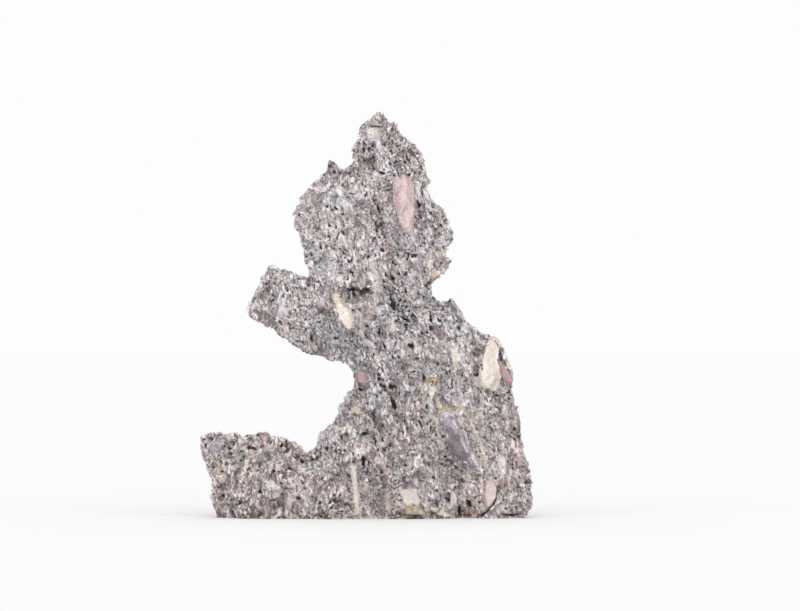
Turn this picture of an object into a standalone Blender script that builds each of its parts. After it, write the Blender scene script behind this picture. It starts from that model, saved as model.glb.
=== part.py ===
"""Ibigawa rock: one upright slab of weathered breccia, flat underneath so that it stands.

Blender 4.5, metres, +Z up. The broad front face looks along -Y. The origin is the middle of the
stone's footprint box, on the surface that it stands on. Lengths below are in millimetres, and
MM turns them into metres. Run with: blender --background --python part.py
"""

import math

import bmesh
import bpy
from mathutils import Vector, kdtree, noise

MM = 0.001

# Driving dimensions
HEIGHT = 407.5
BASE_DEPTH = 80.0
PEAK_DEPTH = 30.0
TIP_THINNING = 0.28
EDGE_SHARE = 0.42
EDGE_WIDTH = 26.0
LEAN_BACK = 5.0

RISE_POWER = 0.85
THINNING_START, THINNING_END = 35.0, 165.0
BOW_HEIGHT, BOW_WIDTH = 6.0, 110.0
BOW_SEED = 3.1

# The bedding runs nearly upright, down and to the right, and draws the grain out along it
GRAIN_TILT = math.radians(17)
GRAIN_STRETCH = 2.1

# Relief: how far each layer stands in or out, and how wide its forms are
SWELL_HEIGHT, SWELL_WIDTH = 6.0, 70.0
LUMP_HEIGHT, LUMP_WIDTH = 5.6, 21.0
CRAG_HEIGHT, CRAG_WIDTH = 3.0, 10.0
# On the narrow rims the relief is weaker, and a small growth keeps the outline's size
RIM_SHARE = 0.42
RIM_GROWTH = 1.3
# Each chunk tips and falls away at its rim by these shares of its layer's height
CHUNK_TIP = 0.9
CHUNK_FALL = 0.45
CREVICE = 0.22
LEVEL_SEED, TIP_SEED = 7.3, 3.7
# A pebble's face keeps this share of the roughness around it
PEBBLE_ROUGHNESS = 0.15

# Meshing
VOXEL = 2.6
SLAB_HALF = 20.0
BELOW_BASE = 12.0
TRIANGLES = 9300

STONE_COLOUR = (0.36, 0.33, 0.33, 1.0)
STONE_ROUGHNESS = 0.85

# The outline, seen from the front as (x, z) and walked clockwise from the lower left
FOOT_END = [
    (-148, -BELOW_BASE), (-149, 6), (-152, 12), (-153, 20), (-154, 30), (-152, 35), (-156, 43),
    (-158, 48), (-161, 57), (-163, 67), (-165, 76),
]
FOOT_TOP = [
    (-164, 81), (-159, 81), (-156, 85), (-147, 86), (-142, 82), (-136, 81), (-132, 84),
    (-126, 82), (-122, 78), (-119, 83), (-115, 84), (-111, 81), (-107, 84), (-99, 85),
    (-94, 79), (-88, 81), (-82, 79), (-75, 80), (-69, 73), (-63, 67), (-60, 62),
]
BAY = [
    (-56, 63), (-51, 67), (-47, 70), (-46, 77), (-47, 84), (-40, 90), (-33, 92), (-28, 99),
    (-25, 103), (-26, 110), (-24, 114), (-19, 117), (-19, 123), (-15, 126), (-12, 129),
    (-12, 137), (-10, 145), (-14, 150), (-22, 157), (-33, 157),
]
ARM_UNDERSIDE = [
    (-38, 160), (-48, 163), (-60, 167), (-66, 171), (-69, 174), (-76, 175), (-84, 179),
    (-91, 185), (-95, 190), (-103, 194), (-110, 197), (-116, 201),
]
ARM_TIP = [
    (-119, 206), (-117, 213), (-112, 219), (-106, 228), (-102, 235), (-102, 240), (-100, 244),
    (-98, 253), (-91, 253),
]
ARM_TOP = [(-82, 248), (-70, 243), (-61, 239), (-54, 238)]
HEAD_LEFT = [
    (-53, 246), (-57, 258), (-61, 271), (-65, 283), (-69, 292), (-70, 300), (-69, 308),
    (-66, 313), (-65, 319), (-61, 326), (-55, 333), (-48, 338), (-43, 343), (-39, 350),
    (-37, 358),
]
LEFT_SPIKE = [(-33, 360), (-29, 355), (-24, 349), (-19, 349), (-13, 353)]
PEAK = [
    (-13, 359), (-15, 368), (-12, 371), (-10, 378), (-8, 383), (-5, 390), (-4, 395), (3, 397),
    (8, 400), (12, 404), (15, HEIGHT), (19, HEIGHT), (23, 403), (24, 399), (29, 397),
]
HEAD_RIGHT = [
    (33, 388), (36, 381), (42, 377), (50, 372), (55, 363), (60, 356), (61, 347), (64, 336),
    (60, 329), (65, 320), (71, 311), (74, 311), (79, 304), (83, 295), (87, 286), (88, 277),
    (83, 272), (79, 264), (86, 257), (81, 248), (72, 240), (65, 231),
]
RIGHT_NOTCH = [(66, 226), (71, 220), (77, 215), (81, 218), (87, 222)]
RIGHT_FLANK = [
    (91, 218), (97, 207), (101, 198), (100, 194), (106, 193), (112, 188), (123, 184), (134, 181),
    (138, 172), (142, 160), (148, 147), (150, 137), (146, 126), (147, 115), (152, 108),
    (154, 97), (155, 82), (157, 71), (159, 62), (163, 56), (166, 45), (168, 36), (167, 26),
    (168, 21), (166, 10), (160, 4), (157, -BELOW_BASE),
]
OUTLINE = (
    FOOT_END + FOOT_TOP + BAY + ARM_UNDERSIDE + ARM_TIP + ARM_TOP + HEAD_LEFT + LEFT_SPIKE
    + PEAK + HEAD_RIGHT + RIGHT_NOTCH + RIGHT_FLANK
)

# Hollows in the front face: centre x, z, half length along the tilt, half width, depth, and the
# tilt of the long axis from upright, in degrees towards the lower right
HOLLOWS = [
    (-9, 225, 19, 6, 8.0, 92),
    (28, 121, 16, 3.5, 7.0, 8),
    (-1, 82, 7, 4.5, 6.0, 80),
    (-53, 178, 8, 4, 6.0, 15),
    (-32, 180, 6, 4, 5.0, 80),
    (10, 291, 30, 7, 5.0, 24),
    (0, 352, 9, 5, 5.0, 10),
    (1, 367, 8, 5, 5.0, 5),
    (14, 390, 9, 3, 6.0, 85),
    (71, 188, 9, 6, 5.0, 60),
    (-2, 55, 9, 4, 5.0, 12),
    (-75, 48, 8, 5, 5.0, 40),
    (94, 7, 9, 6, 9.0, 10),
    (105, 8, 8, 6, 9.0, 15),
    (-141, 56, 12, 7, 4.0, 80),
    (54, 312, 15, 4, 4.0, 6),
]

# Large pebbles set in the front face: centre x, z, half length, half width, how far the face of
# the pebble stands out, and its tilt as above
PEBBLES = [
    (38, 311, 29, 12.5, 2.5, 5),
    (-22, 202, 17, 8.5, 2.0, 22),
    (125, 152, 28, 11, 2.5, -6),
    (141, 143, 14, 5.5, 2.5, 28),
    (97, 78, 32, 15, 3.0, 32),
    (46, 15, 14, 10, 2.5, 4),
    (-9, 27, 24, 4, 1.5, 4),
    (126, 22, 19, 8, 2.5, 6),
    (-3, 141, 9, 6, 1.5, 0),
    (-74, 17, 11, 4, 1.5, 0),
]


def smoothstep(low, high, value):
    t = min(1.0, max(0.0, (value - low) / (high - low)))
    return t * t * (3 - 2 * t)


def clear_scene():
    for obj in list(bpy.data.objects):
        bpy.data.objects.remove(obj, do_unlink=True)


def new_object(name, mesh):
    obj = bpy.data.objects.new(name, mesh)
    bpy.context.scene.collection.objects.link(obj)
    return obj


def with_modifier(name, mesh, kind, **settings):
    """The mesh after one modifier, with nothing left in the scene."""
    obj = new_object(name, mesh)
    modifier = obj.modifiers.new(kind.title(), kind)
    for key, value in settings.items():
        setattr(modifier, key, value)
    graph = bpy.context.evaluated_depsgraph_get()
    result = bpy.data.meshes.new_from_object(obj.evaluated_get(graph))
    bpy.data.objects.remove(obj, do_unlink=True)
    return result


def flat_slab():
    """The outline extruded from front to back at an even thickness, remeshed evenly."""
    bm = bmesh.new()
    front = bm.faces.new([bm.verts.new((x * MM, -SLAB_HALF * MM, z * MM)) for x, z in OUTLINE])
    made = bmesh.ops.extrude_face_region(bm, geom=[front])["geom"]
    back = [v for v in made if isinstance(v, bmesh.types.BMVert)]
    bmesh.ops.translate(bm, verts=back, vec=(0, 2 * SLAB_HALF * MM, 0))
    bmesh.ops.recalc_face_normals(bm, faces=bm.faces)
    mesh = bpy.data.meshes.new("slab")
    bm.to_mesh(mesh)
    bm.free()
    return with_modifier("slab", mesh, "REMESH", mode="VOXEL", voxel_size=VOXEL * MM)


def outline_tree():
    """Points every millimetre along the outline, to measure how far inside it a place lies."""
    points = []
    for (x0, z0), (x1, z1) in zip(OUTLINE, OUTLINE[1:]):
        steps = max(1, round(math.hypot(x1 - x0, z1 - z0)))
        points += [(x0 + (x1 - x0) * i / steps, 0, z0 + (z1 - z0) * i / steps) for i in range(steps)]
    tree = kdtree.KDTree(len(points))
    for i, point in enumerate(points):
        tree.insert(point, i)
    tree.balance()
    return tree


def depth_at(x, z):
    """Front-to-back depth in the middle of the stone: thinner upwards and out along the arms."""
    rise = min(1.0, max(0.0, z / HEIGHT))
    depth = BASE_DEPTH + (PEAK_DEPTH - BASE_DEPTH) * rise ** RISE_POWER
    reach = smoothstep(THINNING_START, THINNING_END, abs(x))
    return depth * (1 - TIP_THINNING * reach)


def shaped(point, tree):
    """A point of the even slab, moved to the stone's real depth and thinned towards its edge."""
    x, y, z = point
    inside = tree.find((x, 0, max(z, 0.0)))[2]
    edge = EDGE_SHARE + (1 - EDGE_SHARE) * smoothstep(0, EDGE_WIDTH, inside)
    bow = BOW_HEIGHT * noise.noise(Vector((x / BOW_WIDTH, BOW_SEED, z / BOW_WIDTH)))
    middle = bow + LEAN_BACK * z / HEIGHT
    return Vector((x, middle + y / SLAB_HALF * depth_at(x, z) / 2 * edge, z))


def along_grain(point, width):
    """The point in cells of the given width, drawn out along the bedding."""
    sine, cosine = math.sin(GRAIN_TILT), math.cos(GRAIN_TILT)
    across = point.x * cosine + point.z * sine
    down = point.x * sine - point.z * cosine
    return Vector((across, point.y, down / GRAIN_STRETCH)) / width


def chunks(point, width):
    """Broken chunks: each cell has its own level, falls away at its rim and tips a little."""
    place = along_grain(point, width)
    distances, centres = noise.voronoi(place)
    level = noise.cell(centres[0] * LEVEL_SEED) - 0.5
    tip = noise.cell_vector(centres[0] * TIP_SEED) - Vector((0.5, 0.5, 0.5))
    slope = tip.dot(place - centres[0])
    rim = smoothstep(0, CREVICE, distances[1] - distances[0])
    return level + CHUNK_TIP * slope + CHUNK_FALL * (rim - 1)


def lens(x, z, shape):
    """0 outside a tilted oval of the front face, rising to 1 well inside it."""
    centre_x, centre_z, half_long, half_wide, _, tilt = shape
    angle = math.radians(tilt)
    dx, dz = x - centre_x, z - centre_z
    down = dx * math.sin(angle) - dz * math.cos(angle)
    across = dx * math.cos(angle) + dz * math.sin(angle)
    radius = math.hypot(down / half_long, across / half_wide)
    return 1 - smoothstep(0.72, 1.12, radius)


def relief(point, normal):
    """How far the surface stands out along its normal at this point."""
    broad = smoothstep(0.2, 0.9, abs(normal.y))
    facing_front = smoothstep(0.35, 0.85, -normal.y)
    swell = SWELL_HEIGHT * broad * noise.noise(point / SWELL_WIDTH) + RIM_GROWTH * (1 - broad)
    rough = LUMP_HEIGHT * chunks(point, LUMP_WIDTH) + CRAG_HEIGHT * chunks(point, CRAG_WIDTH)
    rough *= RIM_SHARE + (1 - RIM_SHARE) * broad
    if facing_front <= 0:
        return swell + rough
    out = swell
    smooth = 0.0
    for pebble in PEBBLES:
        share = lens(point.x, point.z, pebble) * facing_front
        smooth = max(smooth, share)
        out += pebble[4] * share
    out += rough * (1 - (1 - PEBBLE_ROUGHNESS) * smooth)
    for hollow in HOLLOWS:
        out -= hollow[4] * lens(point.x, point.z, hollow) * facing_front
    return out


def weathered(mesh):
    """The slab with its real depth, its lumps, ledges and hollows."""
    tree = outline_tree()
    for vertex in mesh.vertices:
        vertex.co = shaped(vertex.co / MM, tree) * MM
    mesh.update()
    moved = [v.co + v.normal * (relief(v.co / MM, v.normal) * MM) for v in mesh.vertices]
    for vertex, place in zip(mesh.vertices, moved):
        vertex.co = place
    mesh.update()
    return mesh


def cut_base(mesh):
    """Cuts the stone flat at z = 0 and closes the cut with one face."""
    bm = bmesh.new()
    bm.from_mesh(mesh)
    everything = bm.verts[:] + bm.edges[:] + bm.faces[:]
    bmesh.ops.bisect_plane(
        bm, geom=everything, dist=1e-6, plane_co=(0, 0, 0), plane_no=(0, 0, 1), clear_inner=True
    )
    rim = [e for e in bm.edges if e.is_boundary]
    base = bmesh.ops.contextual_create(bm, geom=rim)["faces"]
    bmesh.ops.reverse_faces(bm, faces=[f for f in base if f.normal.z > 0])
    return bm


def centred(bm):
    """Moves the stone so that its footprint box is centred on the origin."""
    xs = [v.co.x for v in bm.verts]
    ys = [v.co.y for v in bm.verts]
    shift = Vector((-(min(xs) + max(xs)) / 2, -(min(ys) + max(ys)) / 2, 0))
    bmesh.ops.translate(bm, verts=bm.verts, vec=shift)


def stone_material():
    material = bpy.data.materials.new("weathered_stone")
    material.use_nodes = True
    shader = material.node_tree.nodes["Principled BSDF"]
    shader.inputs["Base Color"].default_value = STONE_COLOUR
    shader.inputs["Roughness"].default_value = STONE_ROUGHNESS
    shader.inputs["Metallic"].default_value = 0.0
    return material


def build_rock():
    fine = weathered(flat_slab())
    share = TRIANGLES / sum(len(p.vertices) - 2 for p in fine.polygons)
    coarse = with_modifier("fine", fine, "DECIMATE", ratio=share)
    bm = cut_base(coarse)
    centred(bm)
    mesh = bpy.data.meshes.new("rock")
    bm.to_mesh(mesh)
    bm.free()
    mesh.materials.append(stone_material())
    return new_object("rock", mesh)


clear_scene()
build_rock()
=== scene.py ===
"""Looks of an ibigawa rock: grey breccia of broken chips, with pebbles of pink, cream and slate.

Lengths are in millimetres in the frame's axes, and MM turns them into metres. The front face looks
along -Y. The solid's surface is remeshed into small even squares, which are then moved and coloured
as chips, splinters, fibres, pits, holes and pebbles. Small loose splinters are set into it.
"""

import math

import bmesh
import bpy
import numpy as np
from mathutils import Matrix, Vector, noise
from mathutils.bvhtree import BVHTree


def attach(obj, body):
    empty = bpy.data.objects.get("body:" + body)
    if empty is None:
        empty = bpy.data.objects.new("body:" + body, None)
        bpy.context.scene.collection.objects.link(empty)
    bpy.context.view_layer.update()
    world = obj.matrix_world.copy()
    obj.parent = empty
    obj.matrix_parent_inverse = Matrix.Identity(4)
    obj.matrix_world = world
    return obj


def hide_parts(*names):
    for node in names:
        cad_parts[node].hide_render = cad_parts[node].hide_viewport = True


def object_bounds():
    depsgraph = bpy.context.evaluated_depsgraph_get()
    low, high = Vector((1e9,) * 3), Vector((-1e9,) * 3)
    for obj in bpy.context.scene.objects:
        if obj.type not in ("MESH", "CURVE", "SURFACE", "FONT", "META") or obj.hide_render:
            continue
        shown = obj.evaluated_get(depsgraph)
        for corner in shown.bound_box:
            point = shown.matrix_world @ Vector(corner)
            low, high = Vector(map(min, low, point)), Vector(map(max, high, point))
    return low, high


MM = 0.001
SEED = 7

# The studio and the camera. The picture is PICTURE_WIDTH wide where its middle shows the place
# (PICTURE_X, PICTURE_Z), and FRAME_WIDTH is what it takes in at the camera's distance.
FLOOR_RADIUS = 10.0
CAMERA_DISTANCE = 6000.0
CAMERA_PITCH = math.radians(0.5)
FRAME_WIDTH = 801.0
PICTURE_WIDTH = 800.0
SKY_WHITE, FLOOR_WHITE = 0.983, 0.78
LIGHT_SPREAD = math.radians(70)
LIGHTS = {"softbox_right": ((0.6, -1.0, 0.75), 0.9), "softbox_left": ((-0.5, -1.0, 0.8), 0.6)}
PICTURE_X, PICTURE_Z = 34.5, 212.5
SENSOR = 36.0
AIM = Vector((34.0, 0.0, 212.3))

# The stone's fine surface, in patches of limited size. It stays still at the very base. A pit goes
# no deeper than THIN_SHARE of the stone there, and places thinner than THICK swell.
WELD = 0.01
VOXEL = 0.9
PATCHES = 5
BASE_LAYER = 2.0
SWELL = 0.55
THIN_SHARE = 0.22
THIN, THICK, THIN_SWELL = 1.2, 3.2, 1.4
GRAIN_TILT = math.radians(17)

# Its relief: broken chips, splinters within them, fibres and small pits
CHIP_HEIGHT, CHIP_WIDTH = 1.5, 4.6
SPLINTER_HEIGHT, SPLINTER_WIDTH = 0.9, 2.2
CHIP_TIP, RIM_SINK = 1.1, 0.5
CREVICE = 0.22
STRETCH = 2.5
FIBRE_HEIGHT, FIBRE_WIDTH, FIBRE_STRETCH = 0.8, 1.5, 3.5
PIT_DEPTH, PIT_WIDTH, PIT_STRETCH = 2.4, 2.3, 1.8
PIT_START, PIT_FULL = 0.32, 0.46
PIT_ZONE, PIT_ZONE_WIDTH = 0.25, 28
WARP, WARP_WIDTH = 2.0, 11.0

# Blocks of the stone, in which the chips lean alike and are alike in size
BLOCK_WIDTH = 26.0
BLOCK_LEAN = math.radians(14)
COARSENESS, BLOCK_COARSENESS, FOOT_COARSER = 1.08, 0.45, 0.4

# How the bedding leans and how far it is drawn out, in parts of the front face. The foot fades out
# over a height and a width, and each zone is a middle and a reach in x, then in z.
FOOT_UPRIGHT, BAND_LEAN, SLATE_LEAN = math.radians(14), math.radians(11), math.radians(13)
FOOT_SHORTER, BAND_LONGER = 0.45, 0.5
FOOT_TOP, FOOT_SIDE = (130, 90), (0, -50)
BAND_ZONE, SLATE_ZONE = (45, 60, 200, 75), (95, 40, 78, 45)
# The foot's chips are flatter, and rise to a dome
FOOT_FLATTER, FOOT_RISE, FOOT_DOME = 0.4, 0.3, 1.3

# Factors that make unlike numbers from the middle of one block or chip, or from a chip's number
LEAN_SEED, COARSE_SEED, SHIFT_SEED = 31.7, 17.3, 7.7
LEVEL_SEED, TIP_SEED, COLOUR_SEED, STAIN_SEED = 5.9, 4.3, 7.3, 7.77

# Loose splinters set into the surface. Lengths and heights are shares of a splinter's width, and
# how deep it sits is a share of its height. It has either a little or most of a colour of its own.
LOOSE_COUNT = 24000
LOOSE_PER_PIECE = 12000
LOOSE_FORMS = 12
LOOSE_WIDTH, LOOSE_VARIES, NARROWEST, WIDEST = 0.62, 0.35, 0.35, 1.6
LOOSE_LENGTH, LOOSE_HEIGHT, LOOSE_SINK = (1.3, 3.2), (0.6, 1.1), (-0.2, 0.5)
LOOSE_OUT, LOOSE_ALONG, STEEP = 0.12, 0.22, 0.35
LOOSE_SHADE, OWN_COLOUR, OWN_CHANCE = (0.8, 1.2), (0.25, 0.9), (0.6, 0.4)
LOOSE_CLEAR, LOOSE_LOWEST, FLOOR_CLEAR = 0.3, 1.0, 0.1
# The corners of a splinter's middle as angles, and how far they and its tips are moved
THIRDS, CROOKED, TIP_SPREAD = (0, 2.1, 4.2), 0.5, 0.3

# How much light reaches the open faces of the pebbles, and the broken surface between them
PLAIN_LIGHT = 1.12
CRANNY_LIGHT = 0.68
WHITEST = 0.82

# How the broken surface's lightness varies: in fine and wide mottles, each with a strength and
# a width and seed, lighter towards the top of the stone, with painted light and shade by the
# relief, and with painted shade in some chips' cracks
FINE_MOTTLE, FINE_MOTTLES = 0.45, (8, 1.7)
WIDE_MOTTLE, WIDE_MOTTLES = 0.35, (28, 5.1)
LOW_LIGHT, HIGH_LIGHT, LIGHT_HEIGHTS = 0.96, 0.2, (60, 330)
MEAN_LIGHT, RELIEF_LIGHT, RELIEF_LIMIT, FIBRE_LIGHT = 1.08, 0.17, 1.5, 0.6
CRACK_SHADE, CRACKED_SHARE = 0.35, 0.6
DARKEST, LIGHTEST = 0.25, 2.2
CHIP_SHARE, SPLINTER_SHARE = 0.4, 0.6

# The shaders' noises: features per metre, detail and, where they follow the bedding, stretch
NOISE_RANGE = (0.3, 0.7)
FINE_FRAY, WIDE_FRAY = (620, 3), (240, 4)
FINE_FRAY_DEPTHS, WIDE_FRAY_DEPTHS, WIDE_FRAY_RANGE = (-1.6, 1.1), (-2.2, 1.7), (0.25, 0.75)
PEBBLE_STREAKS, STREAK_RANGE, STREAK_SHARES = (190, 5, 2.5), (0.34, 0.66), (-0.3, 0.9)
# Pebbles turn paler deeper inside: partly their own paler cores, partly a painted highlight on their
# rounded faces
PALE_CORE_AND_HIGHLIGHT_DEPTHS, PALE_CORE_AND_HIGHLIGHT, FRAYED_RIM = (1.0, 8.0), 0.5, 0.5
GROUND_SPECKLE, GROUND_SHADES = (800, 3), (0.74, 1.26)
PEBBLE_SPECKLE, PEBBLE_SHADES = (650, 4), (0.74, 1.18)
SPLINTER_SPECKLE, SPLINTER_SHADES = (900, 3), (0.85, 1.12)
GROUND_BUMP, GROUND_BUMP_HEIGHT, GROUND_ROUGHNESS = (900, 4), 0.0006, 0.8
SPLINTER_BUMP, SPLINTER_BUMP_HEIGHT, SPLINTER_ROUGHNESS = (1400, 2), 0.0003, 0.7

# Colours as they look in plain light, in 0-255 per channel
GREY = (166, 158, 158)
LIGHT_GREY = (204, 200, 201)
WHITE = (240, 240, 245)
DARK_GREY = (123, 112, 112)
NEAR_BLACK = (81, 68, 67)
LILAC = (168, 159, 174)
PALE_LILAC = (210, 203, 214)
PLUM = (146, 130, 135)
ROSE = (204, 186, 182)
CREAM = (226, 210, 196)
PALE_CREAM = (244, 234, 227)
SAGE = (166, 169, 163)
UMBER = (146, 128, 114)
PINK = (188, 158, 162)
PALE_PINK = (226, 206, 201)
RED_PINK = (176, 146, 146)
DULL_RED = (178, 134, 130)
SLATE = (112, 101, 108)
MID_SLATE = (138, 129, 132)
PALE_SLATE = (188, 182, 187)
BLUE_GREY = (163, 158, 162)
OCHRE = (152, 134, 108)
SAND = (208, 192, 170)
RUST = (180, 118, 72)
# Painted shade in the pits and holes
PAINTED_PIT_SHADE = (56, 43, 42)
SHADE_BROWN = (92, 82, 72)

# How patches of the stone lean from rosy to cool, and its lower part to rust, in red, green and blue
HUE_SHIFT, HUE_WIDTH, HUE_SEED = (0.05, 0.0, -0.06), 14, 9.3
RUSTY, RUSTY_HEIGHT = (0.035, 0.0, -0.025), 200.0

# What share of the chips and splinters has each colour
CHIP_COLOURS = [
    (GREY, 19), (LIGHT_GREY, 24), (WHITE, 16), (DARK_GREY, 15), (NEAR_BLACK, 5), (LILAC, 4),
    (PALE_LILAC, 3), (PLUM, 3), (ROSE, 4), (CREAM, 4), (SAGE, 5), (UMBER, 2),
]

# Pebbles in the front face: colour, paler colour of its streaks, and outline as (x, z). These
# places, and those of the stains and holes below, are as they show from straight in front.
PEBBLES = [
    (PINK, PALE_PINK, [(27, 340), (33, 343), (43, 342), (48, 335), (50, 323), (50, 313), (49, 303),
                       (49, 290), (46, 285), (37, 285), (33, 298), (30, 312), (27, 326)]),
    (SAND, CREAM, [(-34, 223), (-28, 223), (-22, 219), (-18, 212), (-24, 207), (-29, 209),
                   (-32, 216)]),
    (CREAM, PALE_CREAM, [(-27, 214), (-20, 213), (-14, 208), (-12, 198), (-14, 187), (-20, 190),
                         (-25, 198), (-29, 207)]),
    (PALE_CREAM, CREAM, [(124, 181), (131, 180), (136, 172), (134, 168), (132, 157), (134, 150),
                         (136, 141), (134, 130), (129, 127), (124, 128), (120, 132), (110, 131),
                         (108, 136), (112, 142), (117, 148), (116, 155), (116, 160), (119, 165),
                         (121, 173)]),
    (RED_PINK, PINK, [(133, 157), (139, 157), (144, 149), (149, 140), (148, 131), (142, 135),
                      (137, 139), (134, 151)]),
    (RED_PINK, PINK, [(-10, 147), (-5, 150), (0, 143), (1, 135), (-4, 131), (-10, 133)]),
    # The slate pebble, its pale rims, its dark middle and its white cracks
    (MID_SLATE, PALE_SLATE, [(79, 103), (85, 103), (88, 98), (94, 96), (95, 89), (101, 83),
                             (102, 76), (109, 67), (110, 61), (115, 55), (114, 51), (108, 51),
                             (102, 54), (93, 61), (87, 66), (81, 76), (82, 84), (77, 92)]),
    (SAND, CREAM, [(86, 112), (93, 111), (100, 102), (106, 91), (113, 78), (118, 65), (120, 50),
                   (122, 50), (120, 65), (115, 79), (108, 92), (102, 104), (95, 114), (87, 115)]),
    (CREAM, PALE_SLATE, [(75, 109), (72, 97), (73, 86), (77, 75), (81, 67), (79, 66), (75, 74),
                         (71, 85), (70, 97), (73, 109)]),
    (SAND, CREAM, [(99, 48), (107, 45), (115, 46), (119, 49), (117, 45), (108, 43), (99, 46)]),
    (SLATE, MID_SLATE, [(81, 89), (86, 91), (89, 84), (93, 83), (95, 75), (100, 72), (99, 67),
                        (104, 64), (102, 60), (104, 53), (98, 55), (94, 61), (88, 62), (86, 69),
                        (82, 73), (84, 80)]),
    (PALE_SLATE, WHITE, [(76, 105), (82, 107), (89, 104), (89, 102), (82, 103), (79, 97)]),
    (WHITE, PALE_SLATE, [(97, 75), (98, 75), (102, 67), (101, 66)]),
    (WHITE, LIGHT_GREY, [(106, 65), (108, 62), (109, 57), (107, 59)]),
    (WHITE, PALE_SLATE, [(87, 97), (88, 97), (92, 90), (90, 91)]),
    (WHITE, PALE_SLATE, [(98, 57), (101, 57), (104, 52), (100, 54)]),
    (LIGHT_GREY, CREAM, [(92, 103), (94, 103), (98, 92), (102, 82), (104, 74), (103, 73),
                         (100, 82), (96, 92)]),
    (LIGHT_GREY, WHITE, [(109, 57), (112, 54), (113, 50), (111, 52)]),
    # Smaller ones in the foot, the body, the arm and the head
    (CREAM, LIGHT_GREY, [(34, 27), (40, 29), (48, 30), (52, 26), (55, 17), (54, 13), (39, 13),
                         (36, 20)]),
    (OCHRE, SAND, [(39, 12), (54, 12), (63, 3), (40, 3)]),
    (ROSE, PALE_PINK, [(121, 38), (127, 38), (132, 31), (133, 24), (129, 15), (121, 5), (119, 11),
                       (118, 20), (119, 31)]),
    (CREAM, LIGHT_GREY, [(-15, 52), (-9, 51), (-8, 38), (-6, 19), (-6, 4), (-10, 3), (-12, 15),
                         (-13, 30), (-15, 43)]),
    (ROSE, PALE_PINK, [(-80, 27), (-76, 25), (-73, 18), (-74, 9), (-79, 8), (-81, 17)]),
    (PALE_CREAM, ROSE, [(-62, 21), (-58, 20), (-57, 11), (-59, 9), (-62, 15)]),
    (CREAM, PALE_CREAM, [(-121, 60), (-117, 58), (-118, 50), (-122, 39), (-125, 40), (-122, 50)]),
    (LIGHT_GREY, LILAC, [(-135, 53), (-130, 54), (-126, 51), (-128, 47), (-133, 48)]),
    (ROSE, PALE_CREAM, [(-90, 54), (-84, 54), (-84, 47), (-89, 47)]),
    (PINK, ROSE, [(-105, 82), (-98, 84), (-97, 77), (-102, 75)]),
    (DULL_RED, PINK, [(-69, 70), (-64, 67), (-66, 61), (-70, 64)]),
    (PINK, ROSE, [(-57, 40), (-53, 38), (-51, 28), (-55, 29)]),
    (SAND, CREAM, [(-15, 111), (-8, 112), (0, 104), (-1, 99), (-10, 105), (-15, 106)]),
    (PALE_CREAM, CREAM, [(85, 174), (91, 172), (94, 160), (92, 148), (89, 149), (86, 160)]),
    (PALE_CREAM, SAND, [(64, 131), (71, 131), (69, 122), (65, 116), (63, 124)]),
    (LIGHT_GREY, WHITE, [(-104, 41), (-96, 37), (-88, 34), (-84, 29), (-92, 28), (-100, 33)]),
    (CREAM, PALE_CREAM, [(62, 260), (68, 258), (68, 251), (64, 246), (62, 250)]),
    (SAND, CREAM, [(68, 249), (73, 246), (74, 242), (67, 241), (65, 245)]),
    (RED_PINK, PINK, [(79, 261), (85, 257), (81, 250), (78, 254)]),
    (PINK, ROSE, [(-49, 217), (-43, 215), (-43, 209), (-48, 210)]),
    (LIGHT_GREY, GREY, [(1, 394), (5, 399), (9, 400), (12, 396), (17, 394), (15, 392), (10, 391),
                        (4, 392)]),
    (LIGHT_GREY, PALE_CREAM, [(1, 389), (5, 391), (14, 389), (17, 384), (13, 380), (6, 379),
                              (1, 383)]),
    (ROSE, LIGHT_GREY, [(5, 233), (17, 230), (20, 222), (12, 226)]),
    (PALE_CREAM, ROSE, [(132, 59), (138, 60), (141, 50), (138, 40), (133, 38), (135, 48)]),
    (LIGHT_GREY, CREAM, [(85, 25), (91, 22), (92, 8), (88, 3), (84, 14)]),
    (PINK, ROSE, [(94, 27), (99, 24), (99, 16), (95, 17)]),
    (RUST, SAND, [(98, 5), (102, 9), (104, 7), (101, 3)]),
    (SAND, RUST, [(104, 11), (107, 12), (108, 5), (105, 4)]),
    (RUST, CREAM, [(108, 9), (112, 7), (112, 3), (108, 3)]),
    (PALE_SLATE, WHITE, [(-87, 220), (-83, 221), (-81, 214), (-82, 207), (-81, 200), (-86, 199),
                         (-88, 205), (-86, 212)]),
    (BLUE_GREY, PALE_SLATE, [(-157, 75), (-152, 77), (-147, 76), (-143, 72), (-146, 69),
                             (-145, 66), (-152, 64), (-154, 68), (-157, 69)]),
    (LIGHT_GREY, WHITE, [(-65, 239), (-60, 238), (-61, 232), (-64, 231)]),
    (ROSE, PALE_CREAM, [(-107, 235), (-102, 234), (-103, 226), (-107, 225)]),
    (UMBER, ROSE, [(133, 37), (137, 38), (139, 34), (137, 30), (133, 31)]),
    (PLUM, ROSE, [(19, 27), (24, 24), (26, 12), (24, 5), (19, 8)]),
    (PLUM, DARK_GREY, [(86, 44), (92, 42), (93, 38), (87, 38)]),
    (CREAM, ROSE, [(149, 47), (154, 44), (152, 38), (149, 40)]),
    (CREAM, SAND, [(-16, 289), (-12, 287), (-13, 280), (-16, 282)]),
    (PALE_PINK, WHITE, [(0, 345), (3, 343), (4, 334), (1, 333)]),
    (PALE_LILAC, WHITE, [(9, 379), (13, 380), (17, 374), (17, 366), (12, 366), (10, 372)]),
]

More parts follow.
